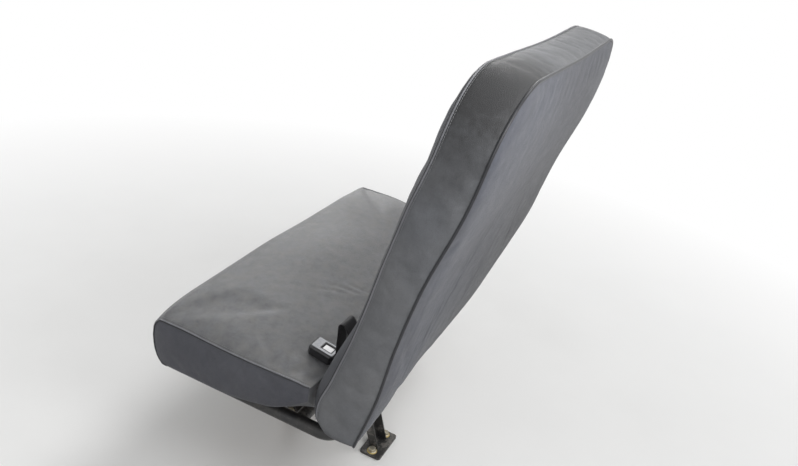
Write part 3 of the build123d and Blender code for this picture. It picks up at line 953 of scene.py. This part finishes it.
def sew_seam(prefix, tree, path, side, body, slot, hem_size, row_place, **stitches):
    """A hem over a seam, with a thin dark tube as a painted shadow in the groove on one side of it, and a row of
    stitches on the other.
    """
    hem = [(across * hem_size[0], up * hem_size[1]) for across, up in HEM]
    new_piece(prefix + "_hem", *laid_on(tree, path, side, hem), body, slot, HEM_WEAR_AND_HIGHLIGHT)
    shadow_path = row_on(tree, path, side, *SHADOW_LINE_PLACE)[0]
    new_piece(prefix + "_shadow_line", *tube_mesh(shadow_path, SHADOW_LINE_R, sides=8), body, slot, DARK_PIPING_AND_SHADOW)
    row, normal = row_on(tree, path, side, *row_place)
    new_piece(prefix + "_stitches", *stitch_mesh(row, normal, **stitches), body, slot, THREAD)


def make_back_seams(piece, paths, beside, outwards):
    """Piping round the rear panel, and a sewn seam round the front one."""
    rear = evenly(paths["rear"] + outwards * 0.0004, len(paths["rear"]) * 2)
    # The rear piping, near-black and widened, with its shadow painted in.
    new_piece("back_rear_piping", *tube_mesh(rear, PIPING_R, sides=12), "frame", "back_vinyl", DARK_PIPING_AND_SHADOW)
    front = paths["front"]
    count = len(front) * 2
    path, side = evenly(front, count), evenly_vectors(unit(beside - front), count)
    tree = surface_tree(piece)
    sew_seam("back_front", tree, path, side, "frame", "back_vinyl", (0.75, 0.85), (0.0062, 0.0008))


def evenly_vectors(vectors, count):
    """Spread unit vectors over count + 1 places."""
    at = np.linspace(0, len(vectors) - 1, count + 1)
    return unit(between(at, np.arange(len(vectors)), vectors))


# Cushion

def stations(low, high, first=0.003):
    """Places between two ends, close together near each end."""
    steps, size = [], first
    while size < CELL:
        steps.append(size)
        size *= CELL_GROWTH
    head = np.r_[0, np.cumsum(steps)]
    middle = np.linspace(head[-1], high - low - head[-1], round((high - low - 2 * head[-1]) / CELL) + 1)
    return low + np.r_[head[:-1], middle, (high - low) - head[:-1][::-1]]


def underside(x, y):
    """Height of the cushion's lower face: the board, with both rear corners drawn up."""
    away = np.minimum(x - CUSHION_LOW.x, CUSHION_HIGH.x - x)
    edge = height_along(DRAWN_EDGE, np.clip(y, DRAWN_EDGE[0][0], DRAWN_EDGE[-1][0]))
    rise = np.maximum(edge - BOARD_UNDER, 0) * np.clip(1 - away / DRAWN_WIDTH, 0, 1) ** 1.3
    return BOARD_UNDER - VINYL + rise


def make_cushion():
    """The cushion's cover: crown, round front, end panels and a flap under the board, filled out."""
    xs = stations(CUSHION_LOW.x + CUSHION_INSET, CUSHION_HIGH.x - CUSHION_INSET)
    rows = stations(MID_NOSE[-1][0], CUSHION_HIGH.y - CUSHION_REAR_INSET, first=0.004)
    rear = rows[-1]
    u, v = len(xs) - 1, len(rows) - 1
    w = NOSE_CELLS
    end_nose, mid_nose = evenly(END_NOSE, w), evenly(MID_NOSE, w)
    share = np.linspace(0, 1, w + 1)
    lattice = np.zeros((u + 1, v + 1, w + 1, 3))
    away = np.minimum(xs - CUSHION_LOW.x, CUSHION_HIGH.x - xs) - CUSHION_INSET
    for i, x in enumerate(xs):
        middle = roll(away[i], CROWN_ROLL)
        swell = float(smooth_curve(FRONT_SWELL, x))
        nose = end_nose + (mid_nose - end_nose) * middle
        nose[:, 0] -= SWELL_FORWARD * swell * share ** 0.7
        ys = rear - (rear - rows) * (rear - nose[-1, 0]) / (rear - rows[0])
        crown = height_along(CROWN, np.maximum(ys, CROWN[0][0]))
        seam = height_along(END_SEAM, ys)
        top = seam + (crown - seam) * middle + SWELL_UP * swell * ramp(ys, *SWELL_PLACES)
        bottom = underside(x, ys)
        lattice[i, ..., 0] = x
        for k, z in ((0, bottom), (w, top)):
            lattice[i, :, k, 1], lattice[i, :, k, 2] = ys, z
        lattice[i, 0, :, 1] = nose[:, 0]
        lattice[i, 0, :, 2] = nose[:, 1] + (top[0] - nose[-1, 1]) * share ** 2
        lattice[i, v, :, 1] = rear
        lattice[i, v, :, 2] = bottom[v] + (top[v] - bottom[v]) * share
    for i, outwards in ((0, -1), (u, 1)):
        edges = [lattice[i, :, 0, 1:], lattice[i, :, w, 1:], lattice[i, 0, :, 1:], lattice[i, v, :, 1:]]
        grid = filled_grid(*edges, rounds=300)
        away_end = edge_distance(grid)
        lattice[i, :, :, 1:] = grid
        lattice[i, :, :, 0] = xs[i] + outwards * END_PUFF * roll(away_end, END_ROLL)
    hide_middle(lattice)
    surfaces = [GREY_TOP, GREY_END_SHADED]
    side_surface = (1, 1, 0, 0, 0, 0)
    piece, index = shell("cushion_cover", lattice, "cushion", "cushion_vinyl", surfaces, side_surface)
    ends = {}
    for name, i in (("wall", 0), ("aisle", u)):
        line = [(i, v, k) for k in range(w + 1)] + [(i, j, w) for j in range(v - 1, -1, -1)]
        line += [(i, 0, k) for k in range(w - 1, -1, -1)]
        ends[name] = [index[p] for p in line]
        ends[name + "_low"] = [index[i, j, 0] for j in range(v + 1)]
    places = coordinates(piece.data)
    low = np.where(places[:, 2] < BOARD_UNDER + 0.008)[0]
    rear = np.where(places[:, 1] > CUSHION_HIGH.y - 0.004)[0]
    pinned = {n for line in ends.values() for n in line} | set(low.tolist()) | set(rear.tolist())
    settle(piece, pinned, CUSHION_GIVE, under_buckle)
    places = coordinates(piece.data)
    seam_paths = {name: places[ends[name]][w:] for name in ("wall", "aisle")}
    finish_cover(piece, ends.values(), cushion_wrinkles)
    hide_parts("cushion_pad")
    return piece, seam_paths


def hide_middle(lattice):
    """Keep the cover under the board's rim only, as a stapled flap, and lift the rest into the board."""
    board_low, board_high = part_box("cushion_board")
    x, y, z = (lattice[:, :, 0, axis] for axis in range(3))
    inside = np.minimum.reduce((x - board_low.x, board_high.x - x, y - board_low.y, board_high.y - y))
    lattice[:, :, 0, 2] = np.where(inside > WRAP, np.maximum(z, BOARD_UNDER + 0.005), z)


def under_buckle(place):
    """1 where the buckle lies, 0 away from it."""
    low, high = np.array(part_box("buckle_body"))
    away = np.maximum(np.maximum(low[:2] - place[:, :2], place[:, :2] - high[:2]), 0)
    return np.exp(-(away ** 2).sum(axis=1) / 0.02 ** 2)


def cushion_wrinkles(place, normal):
    """Sitting hollows, soft creases near the rear, and slight lumps in the foam."""
    x, y, z = place.T
    top = np.clip(normal[:, 2] * 2 - 0.8, 0, 1) * (z > BOARD_UNDER + 0.03)
    still = 1 - under_buckle(place)
    height = np.zeros(len(x))
    seats, seat_y, half_width, half_length, depth = SEAT_HOLLOWS
    for seat_x in seats:
        height -= depth * bump_at(x, seat_x, half_width) * bump_at(y, seat_y, half_length)
    height -= 1.2 * folds(x, y, CUSHION_FOLDS, 0.16, (0.0065, 0.011, 0.009))
    height += 0.0009 * np.sin(x * 17 + 1) * np.sin(y * 21 + 0.4)
    return height * top * still


def make_cushion_seams(piece, paths):
    """A sewn seam at each end, its hem and stitches on the top side."""
    tree = surface_tree(piece)
    for name, inwards in (("wall", 1.0), ("aisle", -1.0)):
        path = evenly(paths[name], 300)
        side = np.tile((inwards, 0.0, 0.0), (len(path), 1))
        sew_seam(name + "_end", tree, path, side, "cushion", "cushion_vinyl", (0.9, 0.9), (0.0085, 0.0003),
                 spacing=0.005, length=0.0034)


# Belt

def make_strap():
    """Webbing over the cushion's rear edge, with woven selvedges and a slight curl."""
    low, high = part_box("buckle_webbing")
    centre_x = 0.5 * (low.x + high.x)
    half = 0.5 * (high.x - low.x)
    route = strap_route()
    across = np.linspace(-1, 1, 13)
    rise = np.where(np.abs(across) > 0.9, 0.5, 1.0) * STRAP_THICK / 2
    profile = np.stack([np.r_[across, across[::-1]], np.r_[rise, -rise]], axis=1)
    along = unit(np.gradient(route, axis=0))
    vertices = []
    for place, (ay, az) in zip(route, along):
        for share, up in profile:
            vertices.append((centre_x + share * half, place[0] - az * up, place[1] + ay * up))
    faces = ring_faces(len(route), len(profile))
    piece = new_piece("belt_strap", vertices, faces, "cushion", "webbing_black", WEBBING)
    outward(piece.data)
    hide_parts("buckle_webbing")


def strap_route():
    """(Y, Z) points of the strap, round the bends of its table."""
    points = [np.array(STRAP_CORNERS[0][0])]
    for before, (corner, radius), after in zip(STRAP_CORNERS, STRAP_CORNERS[1:], STRAP_CORNERS[2:]):
        a, b = unit(np.array(before[0]) - corner), unit(np.array(after[0]) - corner)
        half_turn = 0.5 * np.arccos(np.clip(a @ b, -1, 1))
        reach = radius / np.tan(half_turn)
        centre = corner + unit(a + b) * radius / np.sin(half_turn)
        for s in np.linspace(0, 1, 9):
            spoke = corner + ((1 - s) * a + s * b) * reach - centre
            points.append(centre + unit(spoke) * radius)
    points.append(np.array(STRAP_CORNERS[-1][0]))
    return evenly(np.array(points), 160)


def rounded_loop(low, high, radius, height, steps=6):
    """Rounded rectangle at one height, as a loop of points."""
    points = []
    (x0, y0), (x1, y1) = np.add(low, radius), np.subtract(high, radius)
    for centre, start in (((x1, y1), 0), ((x0, y1), 90), ((x0, y0), 180), ((x1, y0), 270)):
        points.extend((x, y, height) for x, y in arc(centre, radius, start, start + 90, steps))
    return points


def make_button_shadow():
    """Black strip round the button, a painted shadow of the gap round its recess, wider on its far and front
    sides.
    """
    matrix = Matrix.Translation(BUCKLE_PLACE) @ Matrix.Rotation(BUCKLE_TILT, 4, "X")
    vertices = []
    for far, near, height, radius in BUTTON_SHADOW_RIM:
        low = [place - far for place in BUTTON_LOW]
        high = [place + near for place in BUTTON_HIGH]
        loop = rounded_loop(low, high, radius, height)
        vertices.extend(matrix @ Vector(point) for point in loop)
    faces = ring_faces(len(BUTTON_SHADOW_RIM), len(loop), closed=True)
    piece = new_piece("button_shadow_rim", vertices, faces, "cushion", "buckle_black", BLACK_PLASTIC)
    outward(piece.data)


# Fittings

def hex_bolt(size=0.0092, height=0.0066, washer=0.0125):
    """Washer, flanged hex head with a turned crown."""
    disc = turned_mesh([(0, 0), (washer, 0), (washer, 0.0012), (washer - 0.0005, 0.0018), (0, 0.0018)], 28)
    rim = size * 1.12
    flange = turned_mesh([(0, 0.0018), (rim, 0.0018), (rim, 0.0028), (size, 0.0034), (0, 0.0034)], 28)
    head = turned_mesh([(0, 0.003), (size, 0.003), (size, 0.003 + height * 0.82), (size * 0.9, 0.003 + height),
                        (size * 0.5, 0.0032 + height), (0, 0.0032 + height)], 6)
    return disc, joined([flange, head])


def make_bolts():
    """Bolts through the feet into the floor and through the brackets into the wall, each turned its own way."""
    washer, head = hex_bolt()
    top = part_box("front_foot_plate")[1].z
    wall_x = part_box("rear_wall_bracket")[0].x + BRACKET_THICK
    spots = [((x, y, top), (0, 0, 1), 0.35 + 0.7 * number) for number, (x, y) in enumerate(FOOT_BOLTS)]
    spots += [((wall_x, y, z), (1, 0, 0), 0.5 + number) for number, (y, z) in enumerate(WALL_BOLTS)]
    heads = [placed(head, place, axis, turn) for place, axis, turn in spots]
    washers = [placed(washer, place, axis) for place, axis, _ in spots]
    new_piece("mounting_bolts", *joined(heads), "frame", "fitting_zinc", ZINC, smooth=False)
    new_piece("mounting_washers", *joined(washers), "frame", "fitting_zinc", YELLOW_ZINC, smooth=False)


def screw_head(radius):
    """Low domed head with a cross recess left as a turned dimple."""
    return turned_mesh([(0, 0), (radius, 0), (radius, 0.0006), (radius * 0.8, 0.0017), (radius * 0.45, 0.0022),
                        (radius * 0.3, 0.0012), (0, 0.0008)], 20)


def make_screws():
    """Screws up through the flanges of the hooks, the clips and the belt's anchor plate."""
    spots = []
    for name in ("wall_hinge_hook", "aisle_hinge_hook", "wall_rear_clip", "aisle_rear_clip"):
        low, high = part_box(name)
        ys = (high.y - 0.011,) if "hook" in name else (low.y + 0.006, high.y - 0.006)
        for x in (low.x + 0.008, high.x - 0.008):
            spots += [((x, y, high.z - FITTING_THICK), 0.0042) for y in ys]
    low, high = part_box("belt_anchor_plate")
    spots += [((x, 0.5 * (low.y + high.y), low.z), 0.0052) for x in (low.x + 0.010, high.x - 0.010)]
    parts = [placed(screw_head(radius), place, (0, 0, -1)) for place, radius in spots]
    new_piece("board_screws", *joined(parts), "cushion", "fitting_zinc", ZINC)


def make_staples():
    """Staples along the cover's flap under the board."""
    low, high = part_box("cushion_board")
    parts = []
    inset = WRAP * 0.55
    spots = []
    for x in np.arange(low.x + 0.05, high.x - 0.04, STAPLE_PITCH):
        spots.append(((x, low.y + inset), (1, 0)))
        if low.x + 0.11 < x < high.x - 0.11:
            spots.append(((x, high.y - inset), (1, 0)))
    for y in np.arange(low.y + 0.03, -0.09, STAPLE_PITCH):
        spots.append(((low.x + inset, y), (0, 1)))
        spots.append(((high.x - inset, y), (0, 1)))
    for (x, y), (dx, dy) in spots:
        turn = rng.uniform(-0.25, 0.25)
        ax, ay = dx * cos(turn) - dy * sin(turn), dx * sin(turn) + dy * cos(turn)
        z = BOARD_UNDER - VINYL
        line = [(x + ax * along, y + ay * along, z - up) for along, up in STAPLE]
        parts.append(tube_mesh(evenly(line, 8), 0.0005, sides=6))
    new_piece("cover_staples", *joined(parts), "cushion", "fitting_zinc", ZINC)


def make_welds():
    """Rippled beads where the legs meet their feet and the rail, and the rail the tubes."""
    parts = []
    half_w, half_d = LEG_HALF
    for foot_y in FEET_Y:
        for z, lift in LEG_ENDS:
            y = foot_y - LEG_LEAN * z
            outline = [(-half_w, y + half_d), (-half_w, y - half_d), (half_w, y - half_d), (half_w, y + half_d)]
            path = evenly([(px, py, z + lift * 0.0006) for px, py in outline], 90)
            parts.append(tube_mesh(path, 0.0022, sides=8, ripple=0.22, pitch=0.0032))
    rail_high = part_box("leg_rail")[1]
    angle = np.radians(np.linspace(202, 338, 26))
    for tube_y, tube_z in TUBES:
        arch = np.stack([tube_y + TUBE_BEAD_R * np.cos(angle), tube_z + TUBE_BEAD_R * np.sin(angle)], axis=1)
        arch = arch[arch[:, 1] < rail_high.z + 0.001]
        for side in (-1, 1):
            path = [(side * rail_high.x, y, z) for y, z in arch]
            parts.append(tube_mesh(path, 0.0019, sides=8, ripple=0.2, pitch=0.003))
    new_piece("weld_beads", *joined(parts), "frame", "frame_black", BLACK_STEEL)


# Carried-over CAD nodes

def dress_nodes():
    looks = {
        BLACK_STEEL: ("front_tube", "rear_tube", "aisle_side_tube", "wall_side_tube", "front_leg", "rear_leg",
                      "leg_rail", "leg_stretcher", "front_foot_plate", "rear_foot_plate", "front_wall_bracket",
                      "rear_wall_bracket"),
        ZINC: ("wall_hinge_hook", "aisle_hinge_hook", "wall_rear_clip", "aisle_rear_clip", "belt_anchor_plate"),
        PLYWOOD: ("cushion_board",),
        BLACK_PLASTIC: ("buckle_body",),
        SATIN_COVER: ("buckle_cover",),
        BRIGHT_BUTTON: ("buckle_button",),
    }
    for surface, name in ((surface, name) for surface, names in looks.items() for name in names):
        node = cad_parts[name]
        for slot in node.material_slots:
            slot.material = surface
        if name not in ("cushion_board", "buckle_button"):
            bevel = node.modifiers.new("Edges", "BEVEL")
            bevel.width = 0.0005
            bevel.segments = 2
            bevel.limit_method = "ANGLE"
            bevel.angle_limit = radians(40)


# Stage, light and camera

def make_stage():
    bpy.ops.mesh.primitive_circle_add(vertices=96, radius=40, fill_type="NGON", location=(0, 0, -0.0004))
    floor = bpy.context.object
    floor.name = "floor"
    s = Surface("pale_floor", Roughness=0.85, Specular_IOR_Level=0.2)
    pale = s.mix(s.spread(s.noise(3.0), 0.3, 0.7, 0.0, 1.0), (238, 238, 237), (241, 241, 240))
    seen = s.seen_rays()
    s.colour(s.mix(seen, (FLOOR_BOUNCE, FLOOR_BOUNCE, FLOOR_BOUNCE, 1.0), pale))
    far = s.maths("VectorMath", "LENGTH", s.place)["Value"]
    white = s.node("Emission", Color=(1, 1, 1, 1), Strength=1.0)
    share = s.combine(s.spread(far, *FLOOR_FADE), seen, "MULTIPLY")
    both = s.node("MixShader", Fac=share)
    s.tree.links.new(s.shader.outputs[0], both.inputs[1])
    s.tree.links.new(white.outputs[0], both.inputs[2])
    s.tree.links.new(both.outputs[0], s.tree.nodes["Material Output"].inputs["Surface"])
    floor.data.materials.append(s.material)
    world = bpy.data.worlds.new("studio")
    bpy.context.scene.world = world
    world.use_nodes = True
    sky = Nodes(world.node_tree)
    back = sky.tree.nodes["Background"]
    sky.feed(back.inputs["Strength"], sky.spread(sky.seen_rays(), 0.0, 1.0, WORLD_LEVEL, 1.0))
    sky.feed(back.inputs["Color"], (1, 1, 1, 1))


def hang_lamp(data, place, aim):
    lamp = bpy.data.objects.new(data.name, data)
    lamp.location = place
    lamp.rotation_mode = "QUATERNION"
    lamp.rotation_quaternion = (Vector(aim) - Vector(place)).to_track_quat("-Z", "Y")
    bpy.context.scene.collection.objects.link(lamp)


def make_lamps():
    """Broad suns that light the floor evenly, and one soft panel for gradients."""
    for name, place, strength, spread in SUNS:
        data = bpy.data.lights.new(name, "SUN")
        data.energy = strength
        data.angle = radians(spread)
        hang_lamp(data, place, LIT_MIDDLE)
    data = bpy.data.lights.new("soft_panel", "AREA")
    data.shape = "RECTANGLE"
    place, aim, (data.size, data.size_y), data.energy = PANEL
    hang_lamp(data, place, aim)


def make_camera():
    data = bpy.data.cameras.new("camera")
    data.sensor_width = 36.0
    data.lens = CAMERA_LENS
    data.dof.use_dof = False
    camera = bpy.data.objects.new("camera", data)
    bpy.context.scene.collection.objects.link(camera)
    forward = (CAMERA_AIM - CAMERA_PLACE).normalized()
    turn = CAMERA_FORWARD.rotation_difference(forward)
    right = forward.cross(turn @ CAMERA_UP).normalized()
    rotation = Matrix((right, right.cross(forward), -forward)).transposed().to_4x4()
    camera.matrix_world = Matrix.Translation(CAMERA_PLACE) @ rotation
    bpy.context.scene.camera = camera


make_camera()
make_stage()
make_lamps()
make_back_seams(*make_back())
make_cushion_seams(*make_cushion())
make_strap()
make_button_shadow()
make_bolts()
make_screws()
make_staples()
make_welds()
dress_nodes()
bpy.context.scene.view_settings.view_transform = "Standard"
